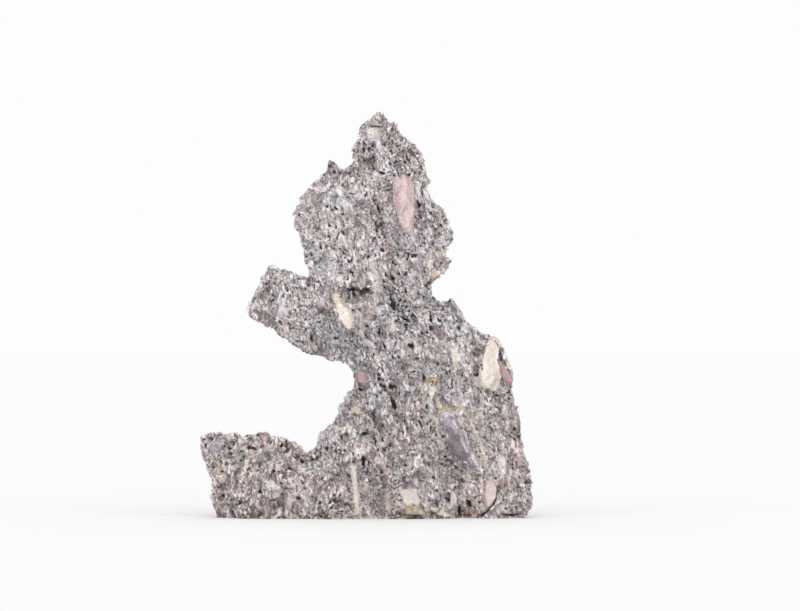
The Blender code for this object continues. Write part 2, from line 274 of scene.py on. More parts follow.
# Patches where many chips have one colour: colour, share of the chips, centre x, z, half length,
# half width, and the tilt of the long axis from upright, in degrees towards the lower right. The
# share fades towards the rim, and one over 1 fills more of the patch. Later ones cover earlier ones.
STAINS = [
    # Painted shade under the ledge, then the rims around the slate pebble
    (SHADE_BROWN, 0.8, -12, 227, 22, 4, 86),
    (CREAM, 0.75, 98, 94, 20, 3.4, 31),
    (SAND, 0.8, 114, 63, 17, 3.2, 22),
    (SAND, 0.8, 110, 45, 8, 3, 88),
    (CREAM, 0.6, 71, 93, 18, 3.2, 5),
    (CREAM, 0.5, 77, 69, 10, 3, 27),
    (SAND, 0.8, 80, 112, 9, 4.5, 80),
    # Darker and paler areas, and streaks in them
    (WHITE, 0.4, 133, 48, 9, 7, 20),
    (LILAC, 0.4, 40, 276, 12, 9, 20),
    (ROSE, 0.5, -60, 322, 16, 8, 215),
    (DARK_GREY, 0.45, 13, 298, 24, 7, 8),
    (DARK_GREY, 0.2, 0, 362, 22, 9, 5),
    (SHADE_BROWN, 0.5, -138, 58, 10, 6, 60),
    (DARK_GREY, 0.4, -128, 16, 12, 8, 80),
    (NEAR_BLACK, 0.6, 84, 56, 6, 5, 20),
    (PLUM, 0.5, 150, 54, 6, 6, 0),
    (CREAM, 0.35, -52, 300, 12, 6, 10),
    (LIGHT_GREY, 0.4, -35, 262, 40, 30, 10),
    (LILAC, 0.4, -142, 70, 8, 8, 0),
    (DARK_GREY, 0.4, 34, 370, 34, 20, 25),
    (UMBER, 0.25, -115, 40, 60, 45, 90),
    (DARK_GREY, 0.25, -85, 30, 70, 35, 90),
    # Painted shade along the foot of the stone, where it meets the floor
    (SHADE_BROWN, 0.55, -90, 2, 70, 6, 90),
    (SHADE_BROWN, 0.5, 66, 2, 45, 6, 90),
    # Painted shadow under the joint of the arm and the head
    (DARK_GREY, 0.5, -44, 232, 14, 9, 80),
    (DARK_GREY, 0.35, 42, 90, 18, 10, 15),
    (CREAM, 0.8, -132, 69, 9, 2, 0),
    (SAGE, 0.5, -122, 60, 9, 6, 60),
    (LIGHT_GREY, 0.8, -58, 55, 6, 4, 60),
    (WHITE, 1.1, -61, 48, 5, 1.8, 20),
    (LILAC, 0.5, -69, 27, 9, 5, 10),
    (CREAM, 0.9, -27, 86, 8, 2.4, 0),
    (LILAC, 0.5, -37, 84, 10, 6, 30),
    (WHITE, 1.1, -11, 84, 6, 1.8, 0),
    (WHITE, 1.2, -126, 23, 7, 2.2, 85),
    (SAND, 0.9, -78, 5, 4, 3, 0),
    # Single bright grains
    (WHITE, 1.3, -77.5, 225, 3, 2, 0),
    (WHITE, 1.3, -66, 198, 5, 2, 70),
    (WHITE, 1.3, -63.5, 213, 3, 2, 30),
    (WHITE, 1.3, -52.5, 186, 3.5, 2, 70),
    (WHITE, 1.5, 16.5, 336, 3, 2.4, 0),
    (WHITE, 1.5, -34.5, 328, 2.5, 2, 0),
    (WHITE, 1.5, 9.5, 298, 2.5, 1.8, 0),
    (WHITE, 1.5, 25.5, 298, 2.5, 1.8, 0),
    (WHITE, 1.5, -29.5, 257, 2.5, 2, 0),
    (WHITE, 1.5, -29.5, 305, 2, 1.6, 0),
    (WHITE, 1.5, 65.5, 267, 2, 1.6, 0),
    (WHITE, 1.4, 54, 55, 5, 4, 0),
    (WHITE, 1.3, 33, 45, 5, 3.5, 30),
    (WHITE, 1.4, 142, 72, 6, 4.5, 0),
    (WHITE, 1.2, 66, 24, 6, 3, 40),
    (WHITE, 1.2, 41, 52, 5, 2.5, 60),
    (WHITE, 1.3, 153, 42, 4, 3, 0),
    (WHITE, 1.3, 147, 23, 4, 3, 0),
    (WHITE, 1.2, 85, 197, 5, 3, 0),
    (WHITE, 1.2, 136, 58, 5, 5, 0),
    (WHITE, 1.2, 130, 40, 4, 3, 0),
    # Coloured grains, the slate pebble's own stains, the knob on the peak and the pitted arm
    (CREAM, 0.8, 12, 160, 9, 2.5, 5),
    (PALE_LILAC, 0.8, 6, 172, 5, 3, 0),
    (PALE_LILAC, 0.7, -5, 205, 5, 4, 0),
    (PALE_LILAC, 0.6, 2, 114, 6, 4, 30),
    (ROSE, 0.5, -63, 332, 14, 5, 50),
    (OCHRE, 1.3, 69, 137, 6.5, 4, 80),
    (MID_SLATE, 0.8, 96, 78, 33, 12, 32),
    (PALE_SLATE, 0.3, 90, 88, 25, 12, 32),
    (UMBER, 1.3, 65, 138, 3, 2.4, 0),
    (BLUE_GREY, 0.8, 80, 132, 14, 6, 5),
    (PALE_SLATE, 0.5, 82, 124, 9, 6, 5),
    (WHITE, 1.2, 86, 128, 2.5, 1.8, 0),
    # Pale grains at the neck, made whiter as painted light over the shade of a hollow
    (LIGHT_GREY, 0.7, -12, 159, 9, 8, 0),
    (WHITE, 1.0, -12, 156, 9, 9, 0),
    (DARK_GREY, 1.4, 15, 402, 9, 8, 0),
    (NEAR_BLACK, 0.55, 15, 402, 9, 8, 0),
    (WHITE, 1.0, -8, 166, 3, 2, 0),
    # The pitted armpit: darker rock, deepened with painted shade
    (DARK_GREY, 0.9, -57, 239, 10, 7, 60),
    (NEAR_BLACK, 0.3, -54, 237, 8, 5, 60),
    (LIGHT_GREY, 0.5, 144, 124, 8, 6, 0),
    (PLUM, 0.5, 74, 182, 10, 6, 20),
    (LIGHT_GREY, 0.5, 33, 44, 10, 7, 0),
]

# Holes and long dark clefts: x, z, half length, half width, tilt as above
HOLES = [
    (13, 308, 6, 1.6, 12), (12, 290, 8, 1.2, 8), (52, 313, 5, 1.6, 4), (-2, 375, 3.5, 1.5, 0),
    (-2, 368, 3.5, 1.8, 0), (3, 368, 3, 1.4, 0), (-12, 365, 4.5, 1.5, 0), (-1, 358, 2.2, 1.4, 20),
    (21, 384, 3.5, 1.2, 8), (31, 372, 3, 1.5, 30), (39, 352, 4, 1.8, 30),
    (16, 345, 4, 2, 80), (8, 350, 3, 1.4, 60), (10, 391, 6.5, 0.9, 85), (42, 360, 5, 1.5, 20),
    (18, 269, 4, 1.6, 20), (27, 216, 9, 2.2, 12), (38, 207, 3.5, 1.9, 25), (40, 192, 3.2, 2.4, 30),
    (42, 199, 2.8, 1.8, 10), (67, 190, 3, 2.2, 15), (62, 186, 2.2, 1.7, 60), (13, 186, 5, 2.3, 5),
    (-53, 180, 4, 1.8, 15), (40, 226, 5, 1.4, 18), (54, 225, 2.5, 1.5, 0), (41, 244, 3, 1.8, 10),
    (59, 245, 2.6, 1.7, 20), (78, 269, 3, 1.6, 40), (-30, 180, 3, 1.5, 70),
    (-12, 227, 7, 1.1, 93), (-24, 230, 4, 0.9, 88), (1, 227, 4, 1.2, 78),
    (20, 131, 2.8, 2, 0), (26, 131, 3, 1.9, 40), (28, 116, 9, 2.1, 14), (-5, 128, 2.6, 1.4, 80),
    (73, 154, 3, 1.8, 30), (58, 172, 2.5, 1.7, 50), (19, 172, 3, 1.3, 30), (58, 140, 4, 1, 5),
    (56, 185, 2, 1.3, 60), (28, 161, 3, 1.6, 20), (31, 165, 2, 1.2, 0), (-1, 83, 4.5, 1.9, 84),
    (-19, 13, 2.2, 1.9, 0), (-2, 56, 5, 1.5, 6),
    (13, 64, 5, 1, 4), (-74, 50, 3.5, 2.4, 50), (-113, 70, 4, 1.6, 78), (-39, 69, 2.6, 1.8, 30),
    (-52, 20, 4, 1.6, 60), (94, 7, 5, 1.8, 8), (103, 13, 4, 2.2, 12), (-158, 50, 4, 1.2, 10),
    (132, 26, 6.5, 1.3, -5), (129, 16, 6, 1.3, -33), (123, 9, 6, 1.3, -42), (118, 4, 4, 1.3, -55),
    (145, 3, 9, 1.6, 90),
]

# Zones with more pits, in the same form, and how much more
PITTED = [
    (-57, 239, 10, 7, 60), (50, 207, 28, 22, 30), (13, 300, 26, 8, 8), (0, 368, 14, 9, 10),
    (22, 132, 12, 9, 20), (35, 365, 30, 18, 25), (-44, 236, 14, 8, 80), (-72, 232, 14, 11, 0),
    (60, 330, 16, 6, 25), (-125, 60, 10, 8, 0), (80, 150, 12, 8, 30),
]
MORE_PITS = 0.11

# Where the ovals of holes, pitted zones and stains start and end to fade, as shares of their size
HOLE_FADE, PITTED_FADE, STAIN_FADE = (0.55, 1.25), (0.5, 1.3), (0.6, 1.3)
# How much of the stain's colour and of its own a stained chip has
STAIN_STRENGTH, STAIN_REST = 0.8, 0.2
# How far a pit is open where its painted shade starts and where it is darkest
PIT_SHADE = (0.1, 0.9)

# Pebbles rise a little, spread a little past their outlines and are smoother than the rest. FAR is
# how far outside one its depth is still worked out, and a hole clears the pebbles around it.
PEBBLE_RISE = 0.6
PEBBLE_SPREAD = 0.5
PEBBLE_SMOOTH = 0.7
PEBBLE_RIM = (-0.5, 1.5)
FAR = 12.0
HOLE_CLEAR = 8.0
# A face reaches as far round the stone as its surface turns this much towards that side
FACE_TURN = 0.25

# Scattered pebbles: how many, their half lengths, their width for their length, and their outline
BACK_PEBBLES, BACK_SMALLEST, BACK_LARGEST = 70, 5.0, 22.0
SMALL_PEBBLES, SMALL_SMALLEST, SMALL_LARGEST = 190, 2.2, 6.0
SCATTERED_NARROW = (0.35, 0.6)
SCATTERED_CORNERS, SCATTERED_TURN, SCATTERED_SWELL = 9, 0.3, (0.8, 1.15)
SCATTERED_LEAN = 0.25
PEBBLE_PAIRS = [
    (PINK, PALE_PINK), (CREAM, PALE_CREAM), (MID_SLATE, PALE_SLATE), (ROSE, PALE_PINK),
    (LIGHT_GREY, CREAM), (RED_PINK, PINK), (SAND, CREAM), (LILAC, GREY), (PLUM, ROSE),
    (LIGHT_GREY, WHITE), (GREY, LIGHT_GREY), (LIGHT_GREY, ROSE), (GREY, PALE_SLATE), (ROSE, WHITE),
]


def linear(colour, light=PLAIN_LIGHT):
    """The material's own linear values for a 0-255 colour as it looks in that much light."""
    values = np.array(colour, float) / 255
    looks = np.where(values <= 0.04045, values / 12.92, ((values + 0.055) / 1.055) ** 2.4)
    return held(looks / light)


def held(colours):
    """The colours with none brighter than the whitest: its channels are scaled together."""
    return colours * np.minimum(1, WHITEST / colours.max(axis=-1, keepdims=True))


def smoothstep(low, high, value):
    t = np.clip((value - low) / (high - low), 0, 1)
    return t * t * (3 - 2 * t)


def new_object(name, mesh):
    obj = bpy.data.objects.new(name, mesh)
    bpy.context.scene.collection.objects.link(obj)
    return obj


def coordinates(mesh):
    """A mesh's points in millimetres, as an array."""
    flat = np.empty(len(mesh.vertices) * 3, np.float32)
    mesh.vertices.foreach_get("co", flat)
    return flat.reshape(-1, 3).astype(float) / MM


def normals(mesh):
    flat = np.empty(len(mesh.vertices) * 3, np.float32)
    mesh.vertices.foreach_get("normal", flat)
    return flat.reshape(-1, 3).astype(float)


def built_mesh(name, points, faces):
    """A new object from points in millimetres and faces that all have as many corners."""
    mesh = bpy.data.meshes.new(name)
    mesh.vertices.add(len(points))
    mesh.loops.add(faces.size)
    mesh.polygons.add(len(faces))
    mesh.loops.foreach_set("vertex_index", faces.ravel().astype(np.int32))
    mesh.polygons.foreach_set("loop_start", np.arange(0, faces.size, faces.shape[1], dtype=np.int32))
    mesh.vertices.foreach_set("co", (points * MM).astype(np.float32).ravel())
    mesh.validate()
    mesh.update()
    return new_object(name, mesh)


def solid_box():
    """The low and the high corner of the solid's box, in millimetres."""
    return tuple(np.array(corner) / MM for corner in CAD_BOX)


def fine_surface(cad_mesh):
    """The solid's surface remeshed into small even squares: points, normals, faces, thickness."""
    bm = bmesh.new()
    bm.from_mesh(cad_mesh)
    bmesh.ops.remove_doubles(bm, verts=bm.verts, dist=WELD * MM)
    solid = BVHTree.FromBMesh(bm)
    mesh = bpy.data.meshes.new("surface")
    bm.to_mesh(mesh)
    bm.free()
    obj = new_object("surface", mesh)
    remesh = obj.modifiers.new("Remesh", "REMESH")
    remesh.mode = "VOXEL"
    remesh.voxel_size = VOXEL * MM
    graph = bpy.context.evaluated_depsgraph_get()
    result = bpy.data.meshes.new_from_object(obj.evaluated_get(graph))
    bpy.data.objects.remove(obj, do_unlink=True)
    faces = np.empty(len(result.loops), np.int32)
    result.loops.foreach_get("vertex_index", faces)
    points, out = coordinates(result), normals(result)
    inner = [Vector(p) * MM for p in (points - out * 2 * VOXEL).tolist()]
    towards = [-Vector(n) for n in out.tolist()]
    behind = np.array([solid.ray_cast(p, way)[3] or 0.0 for p, way in zip(inner, towards)])
    front = np.array([solid.ray_cast(p, Vector((0, -1, 0)))[3] or 0.0 for p in inner])
    back = np.array([solid.ray_cast(p, Vector((0, 1, 0)))[3] or 0.0 for p in inner])
    thickness = np.minimum(behind / MM + 2 * VOXEL, (front + back) / MM)
    return points, out, faces.reshape(-1, 4), thickness


def nearness(x, z, zone):
    """How near each place is to the middle of a zone, from 0 to 1."""
    middle_x, reach_x, middle_z, reach_z = zone
    return np.exp(-((x - middle_x) / reach_x) ** 2 - ((z - middle_z) / reach_z) ** 2)


def bedding(x, z):
    """The bedding at each place: tilt, how far it is drawn out, and how much it is like the foot."""
    foot = smoothstep(*FOOT_TOP, z) * smoothstep(*FOOT_SIDE, x)
    band, slate = nearness(x, z, BAND_ZONE), nearness(x, z, SLATE_ZONE)
    tilt = GRAIN_TILT - FOOT_UPRIGHT * foot + BAND_LEAN * band + SLATE_LEAN * slate
    return tilt, 1 - FOOT_SHORTER * foot + BAND_LONGER * band, foot


class Block:
    """How the chips of one block lie: its middle, tilt, length, coarseness and likeness to the foot."""

    def __init__(self, middle, tilt, drawn, foot):
        self.middle = middle
        tilt += BLOCK_LEAN * (noise.cell(middle * LEAN_SEED) - 0.5)
        self.sine, self.cosine = math.sin(tilt), math.cos(tilt)
        self.drawn = drawn
        self.foot = foot
        uneven = noise.cell(middle * COARSE_SEED) - 0.5 + FOOT_COARSER * foot
        self.coarseness = COARSENESS + BLOCK_COARSENESS * uneven
        self.shift = middle * SHIFT_SEED

    def cells(self, point, width, stretch):
        """The point in cells of the given width, drawn out along the block's bedding."""
        way = point - self.middle * BLOCK_WIDTH
        across = way.x * self.cosine + way.z * self.sine
        down = (way.x * self.sine - way.z * self.cosine) / (1 + (stretch - 1) * self.drawn)
        return Vector((across, way.y, down)) / (width * self.coarseness) + self.shift

    def chips(self, point, width):
        """Broken chips, each with its own level, tilt and colour number: height, number, inwardness."""
        place = self.cells(point, width, STRETCH)
        distances, centres = noise.voronoi(place)
        level = noise.cell(centres[0] * LEVEL_SEED) - 0.5
        tip = noise.cell_vector(centres[0] * TIP_SEED) - Vector((0.5, 0.5, 0.5))
        inward = min(1.0, (distances[1] - distances[0]) / CREVICE)
        height = level + CHIP_TIP * tip.dot(place - centres[0]) + RIM_SINK * (inward - 1)
        dome = self.foot * (FOOT_RISE - FOOT_DOME * distances[0] ** 2)
        height = height * (1 - FOOT_FLATTER * self.foot) + dome
        return height, noise.cell(centres[0] * COLOUR_SEED), inward


def blocks(places):
    """For each place, the block that it lies in."""
    middles = [noise.voronoi(place / BLOCK_WIDTH)[1][0].freeze() for place in places]
    apart = list(dict.fromkeys(middles))
    where = np.array(apart) * BLOCK_WIDTH
    numbers = np.stack(bedding(where[:, 0], where[:, 2]), axis=1).tolist()
    made = {middle: Block(middle, *each) for middle, each in zip(apart, numbers)}
    return [made[middle] for middle in middles]


def texture(point, bent, block):
    """The broken surface at a point: height, hollow, two colour numbers, inwardness and fibre."""
    chip, chip_number, inward = block.chips(bent, CHIP_WIDTH)
    splinter, splinter_number, _ = block.chips(bent, SPLINTER_WIDTH)
    fibre = noise.noise(block.cells(bent, FIBRE_WIDTH, FIBRE_STRETCH))
    hollow = noise.noise(block.cells(bent, PIT_WIDTH, PIT_STRETCH))
    hollow += PIT_ZONE * noise.noise(point / PIT_ZONE_WIDTH)
    height = CHIP_HEIGHT * chip + SPLINTER_HEIGHT * splinter + FIBRE_HEIGHT * fibre
    return height, hollow, chip_number, splinter_number, inward, fibre


def inside(x, z, outline):
    """How far each place lies inside an outline of the front face; negative outside it."""
    best = np.full(len(x), 1e9)
    odd = np.zeros(len(x), bool)
    for (x0, z0), (x1, z1) in zip(outline, outline[1:] + outline[:1]):
        run = np.array([x1 - x0, z1 - z0], float)
        t = np.clip(((x - x0) * run[0] + (z - z0) * run[1]) / (run @ run), 0, 1)
        best = np.minimum(best, np.hypot(x - x0 - t * run[0], z - z0 - t * run[1]))
        crosses = (z0 > z) != (z1 > z)
        with np.errstate(divide="ignore", invalid="ignore"):
            at = x0 + (z - z0) * run[0] / run[1]
        odd ^= crosses & (x < at)
    return np.where(odd, best, -best)


def oval_radius(x, z, shape):
    """How far out each place lies in a tilted oval, as a share of the oval's size there."""
    centre_x, centre_z, half_long, half_wide, tilt = shape
    angle = math.radians(tilt)
    dx, dz = x - centre_x, z - centre_z
    down = dx * math.sin(angle) - dz * math.cos(angle)
    across = dx * math.cos(angle) + dz * math.sin(angle)
    return np.hypot(down / half_long, across / half_wide)


def scattered_outline(x, z, half_long, half_wide, rng):
    """An irregular oval outline, long along the bedding."""
    tilt = GRAIN_TILT + rng.normal(0, SCATTERED_LEAN)
    outline = []
    for i in range(SCATTERED_CORNERS):
        corner = i + rng.uniform(-SCATTERED_TURN, SCATTERED_TURN)
        turn = 2 * math.pi * corner / SCATTERED_CORNERS
        down, across = half_long * math.cos(turn), half_wide * math.sin(turn)
        swell = rng.uniform(*SCATTERED_SWELL)
        outline.append((
            x + swell * (down * math.sin(tilt) + across * math.cos(tilt)),
            z + swell * (across * math.sin(tilt) - down * math.cos(tilt)),
        ))
    return outline


def scattered_pebbles(count, smallest, largest, rng):
    """Pebbles of mixed kinds anywhere in the stone's width and height."""
    low, high = solid_box()
    made = []
    for _ in range(count):
        x, z = rng.uniform(low[0], high[0]), rng.uniform(low[2], high[2])
        half_long = smallest + (largest - smallest) * rng.random() ** 2
        half_wide = half_long * rng.uniform(*SCATTERED_NARROW)
        pair = PEBBLE_PAIRS[rng.integers(len(PEBBLE_PAIRS))]
        made.append((*pair, scattered_outline(x, z, half_long, half_wide, rng)))
    return made


class Face:
    """What lies in one face: pebbles, holes, stains and pitted zones, as seen from one side."""

    def __init__(self, side, pebbles, holes=(), stains=(), pitted=()):
        self.side = side
        self.pebbles = pebbles
        self.holes = holes
        self.stains = stains
        self.pitted = pitted

    def turned_here(self, out):
        return out[:, 1] * self.side > FACE_TURN


def fields(points, out, sides):
    """For each point: how far inside a pebble, that pebble's two colours, and how far in a hole."""
    depth = np.full(len(points), -FAR)
    hole = np.zeros(len(points))
    tint = np.tile(linear(GREY), (len(points), 1))
    streak = tint.copy()
    x, z = seen(points)
    for face in sides:
        here = np.flatnonzero(face.turned_here(out))
        for main, pale, outline in face.pebbles:
            corners = np.array(outline)
            near = here[
                (np.abs(x[here] - corners[:, 0].mean()) < np.ptp(corners[:, 0]) / 2 + FAR)
                & (np.abs(z[here] - corners[:, 1].mean()) < np.ptp(corners[:, 1]) / 2 + FAR)
            ]
            within = inside(x[near], z[near], outline) + PEBBLE_SPREAD
            nearer = (within > depth[near]) | (within > 0)
            depth[near] = np.maximum(depth[near], within)
            tint[near[nearer]] = linear(main)
            streak[near[nearer]] = linear(pale)
        for shape in face.holes:
            radius = oval_radius(x[here], z[here], shape)
            hole[here] = np.maximum(hole[here], 1 - smoothstep(*HOLE_FADE, radius))
    return depth - HOLE_CLEAR * hole, tint, streak, hole


def extra_pits(points, out, sides):
    """How much the pitted zones add to the hollows' field at each point."""
    x, z = seen(points)
    more = np.zeros(len(points))
    for face in sides:
        for shape in face.pitted:
            there = 1 - smoothstep(*PITTED_FADE, oval_radius(x, z, shape))
            more = np.maximum(more, there * face.turned_here(out))
    return MORE_PITS * more


def seen(points):
    """Where each point shows to the camera, as (x, z) on the plane that it is aimed at."""
    right = points[:, 0] - AIM.x
    behind, above = points[:, 1] - AIM.y, points[:, 2] - AIM.z
    sine, cosine = math.sin(CAMERA_PITCH), math.cos(CAMERA_PITCH)
    scale = PICTURE_WIDTH / FRAME_WIDTH * CAMERA_DISTANCE
    scale = scale / (CAMERA_DISTANCE + behind * cosine - above * sine)
    return PICTURE_X + right * scale, PICTURE_Z + (above * cosine + behind * sine) * scale


def chosen_colours(numbers):
    """A colour of the stone for each number between 0 and 1, by the colours' shares."""
    shares = np.cumsum([share for _, share in CHIP_COLOURS])
    tints = np.array([linear(colour, CRANNY_LIGHT) for colour, _ in CHIP_COLOURS])
    return tints[np.minimum(np.searchsorted(shares / shares[-1], numbers), len(tints) - 1)]


def stained(tints, points, out, sides, numbers):
    """The same colours, with the stains' chips changed: each number says which chips those are."""
    x, z = seen(points)
    for face in sides:
        here = face.turned_here(out)
        for colour, share, *shape in face.stains:
            chance = share * (1 - smoothstep(*STAIN_FADE, oval_radius(x, z, shape)))
            changed = here & (numbers < chance)
            stain = STAIN_STRENGTH * linear(colour, CRANNY_LIGHT)
            tints[changed] = stain + STAIN_REST * tints[changed]
    return tints


def ground_colours(points, out, sides, made):
    """The colour of the broken surface, chip by chip, with painted light where it stands out and
    painted shade where it sinks and cracks.
    """
    height, _, chip_number, splinter_number, inward, fibre = made.T
    tints = CHIP_SHARE * chosen_colours(chip_number) + SPLINTER_SHARE * chosen_colours(splinter_number)
    tints *= 1 + np.outer(mottle(points, HUE_WIDTH, HUE_SEED), HUE_SHIFT)
    tints *= 1 + np.outer(1 - smoothstep(0, RUSTY_HEIGHT, points[:, 2]), RUSTY)
    tints = stained(tints, points, out, sides, (splinter_number * STAIN_SEED) % 1)
    light = 1 + FINE_MOTTLE * mottle(points, *FINE_MOTTLES)
    light += WIDE_MOTTLE * mottle(points, *WIDE_MOTTLES)
    light *= LOW_LIGHT + HIGH_LIGHT * smoothstep(*LIGHT_HEIGHTS, points[:, 2])
    # Painted light where chips and fibres stand out, painted shade where they sink
    relief = RELIEF_LIGHT * np.clip(height, -RELIEF_LIMIT, RELIEF_LIMIT)
    light *= MEAN_LIGHT + relief + FIBRE_LIGHT * fibre
    # Painted shade in the cracks between some chips
    light *= 1 - CRACK_SHADE * (1 - inward) * (chip_number < CRACKED_SHARE)
    return held(tints * np.clip(light, DARKEST, LIGHTEST)[:, None])


def rock_surface(cad_mesh, sides):
    """The stone's own surface in patches, and where it lies, turns and has what colour."""
    points, out, squares, thickness = fine_surface(cad_mesh)
    pebble, tint, streak, hole = fields(points, out, sides)
    places = [Vector(p) for p in points.tolist()]
    bent = [p + WARP * noise.noise_vector(p / WARP_WIDTH) for p in places]
    made = np.array([texture(*each) for each in zip(places, bent, blocks(bent))])
    ground = ground_colours(points, out, sides, made)
    bare = smoothstep(*PEBBLE_RIM, pebble)
    height, hollow = made[:, 0], made[:, 1] + extra_pits(points, out, sides)
    pit = smoothstep(PIT_START, PIT_FULL, hollow) * (1 - bare)
    pit = np.maximum(pit, hole)
    # Pits and holes are darkened towards the pit colour as painted shade
    ground += smoothstep(*PIT_SHADE, pit)[:, None] * (linear(PAINTED_PIT_SHADE) - ground)
    above_base = smoothstep(0, BASE_LAYER, points[:, 2])
    move = SWELL + height * (1 - PEBBLE_SMOOTH * bare) + PEBBLE_RISE * bare - PIT_DEPTH * pit
    move = np.maximum(move, -THIN_SHARE * thickness)
    move += THIN_SWELL * (1 - smoothstep(THIN, THICK, thickness))
    moved = np.clip(points + out * (move * above_base)[:, None], *solid_box())
    patches = []
    order = np.argsort(points[squares[:, 0], 2], kind="stable")
    for number, part in enumerate(np.array_split(order, PATCHES), 1):
        used, corners = np.unique(squares[part], return_inverse=True)
        patch = built_mesh(f"rock_{number}", moved[used], corners.reshape(-1, 4))
        add_numbers(patch.data, "pebble", pebble[used])
        add_colours(patch.data, "ground", ground[used])
        add_colours(patch.data, "tint", tint[used])
        add_colours(patch.data, "streak", streak[used])
        patches.append(patch)
    return patches, moved, out, squares, ground


def add_numbers(mesh, name, values):
    attribute = mesh.attributes.new(name, "FLOAT", "POINT")
    attribute.data.foreach_set("value", np.asarray(values, np.float32))


def add_colours(mesh, name, colours):
    attribute = mesh.attributes.new(name, "FLOAT_COLOR", "POINT")
    full = np.ones((len(colours), 4), np.float32)
    full[:, :3] = colours
    attribute.data.foreach_set("color", full.ravel())


def loose_form(rng):
    """One closed splinter of unit size: a crooked triangle between two tips."""
    turns = np.array(THIRDS) + rng.uniform(-CROOKED, CROOKED, 3)
    ring = np.stack([rng.uniform(-CROOKED, CROOKED, 3), np.cos(turns), np.sin(turns)], axis=1)
    tips = np.array([[1, 0, 0], [-1, 0, 0]])
    tips = tips + rng.uniform(-TIP_SPREAD, TIP_SPREAD, (2, 3)) * (0, 1, 1)
    edges = [(0, 1), (1, 2), (2, 0)]
    triangles = [(a, b, 3) for a, b in edges] + [(b, a, 4) for a, b in edges]
    return np.concatenate([ring, tips]), np.array(triangles)


def sampled_places(points, squares, count, rng):
    """Random places spread evenly over a surface: points, and a near corner of the surface."""
    triangles = np.concatenate([squares[:, :3], squares[:, [0, 2, 3]]])
    a, b, c = (points[triangles[:, i]] for i in range(3))
    area = np.linalg.norm(np.cross(b - a, c - a), axis=1)
    chosen = rng.choice(len(area), count, p=area / area.sum())
    u, v = rng.random(count), rng.random(count)
    over = u + v > 1
    u[over], v[over] = 1 - u[over], 1 - v[over]
    places = a[chosen] + u[:, None] * (b - a)[chosen] + v[:, None] * (c - a)[chosen]
    return places, triangles[chosen, 0]


def unit(vectors):
    return vectors / np.maximum(np.linalg.norm(vectors, axis=1, keepdims=True), 1e-9)


def splinter_axes(out, tilt, rng):
    """Long, short and outward axes of each splinter: along the bedding, in the surface's plane."""
    out = unit(out + rng.normal(0, LOOSE_OUT, out.shape))
    angle = tilt + rng.normal(0, LOOSE_ALONG, len(out))
    along = np.stack([np.sin(angle), np.zeros(len(out)), -np.cos(angle)], axis=1)
    flat = along - out * (along * out).sum(1, keepdims=True)
    steep = np.linalg.norm(flat, axis=1) < STEEP
    flat[steep] = rng.normal(0, 1, (steep.sum(), 3))
    flat -= out * (flat * out).sum(1, keepdims=True)
    along = unit(flat)
    return along, np.cross(out, along), out


def mottle(points, width, seed):
    """Smooth variation over the stone, between about -1 and 1."""
    return np.array([noise.noise(Vector(p) / width + Vector((seed, 0, 0))) for p in points])


def loose_splinters(surface, sides, rng):
    """Small sharp splinters set into the surface, in pieces of limited size."""
    points, smooth_out, squares, ground = surface
    forms = [loose_form(rng) for _ in range(LOOSE_FORMS)]
    places, corner = sampled_places(points, squares, LOOSE_COUNT, rng)
    pebble, _, _, hole = fields(places, smooth_out[corner], sides)
    clear = (hole < LOOSE_CLEAR) & (pebble < LOOSE_CLEAR) & (places[:, 2] > LOOSE_LOWEST)
    places, corner = places[clear], corner[clear]
    count = len(places)
    x, z = seen(places)
    along, aside, out = splinter_axes(smooth_out[corner], bedding(x, z)[0], rng)
    width = rng.lognormal(math.log(LOOSE_WIDTH), LOOSE_VARIES, count)
    width = np.clip(width, NARROWEST, WIDEST)
    length = width * rng.uniform(*LOOSE_LENGTH, count)
    height = width * rng.uniform(*LOOSE_HEIGHT, count)
    sink = rng.uniform(*LOOSE_SINK, count) * height
    own = chosen_colours(rng.random(count)) * rng.uniform(*LOOSE_SHADE, (count, 1))
    share = rng.choice(OWN_COLOUR, (count, 1), p=OWN_CHANCE)
    tints = ground[corner] * (1 - share) + own * share
    tints = stained(tints, places, smooth_out[corner], sides, rng.random(count))
    which = rng.integers(0, LOOSE_FORMS, count)
    low, high = solid_box()
    low = low + (0, 0, FLOOR_CLEAR)
    made = []
    for start in range(0, count, LOOSE_PER_PIECE):
        part = range(start, min(start + LOOSE_PER_PIECE, count))
        corners, triangles, colours = [], [], []
        for number, i in enumerate(part):
            form, form_triangles = forms[which[i]]
            size = np.stack([along[i] * length[i], aside[i] * width[i], out[i] * height[i]])
            corners.append(form @ size + places[i] - out[i] * sink[i])
            triangles.append(form_triangles + number * len(form))
            colours.append(np.tile(tints[i], (len(form), 1)))
        corners = np.clip(np.concatenate(corners), low, high)
        piece = built_mesh(f"splinters_{len(made) + 1}", corners, np.concatenate(triangles))
        add_colours(piece.data, "tint", np.concatenate(colours))
        made.append(piece)
    return made


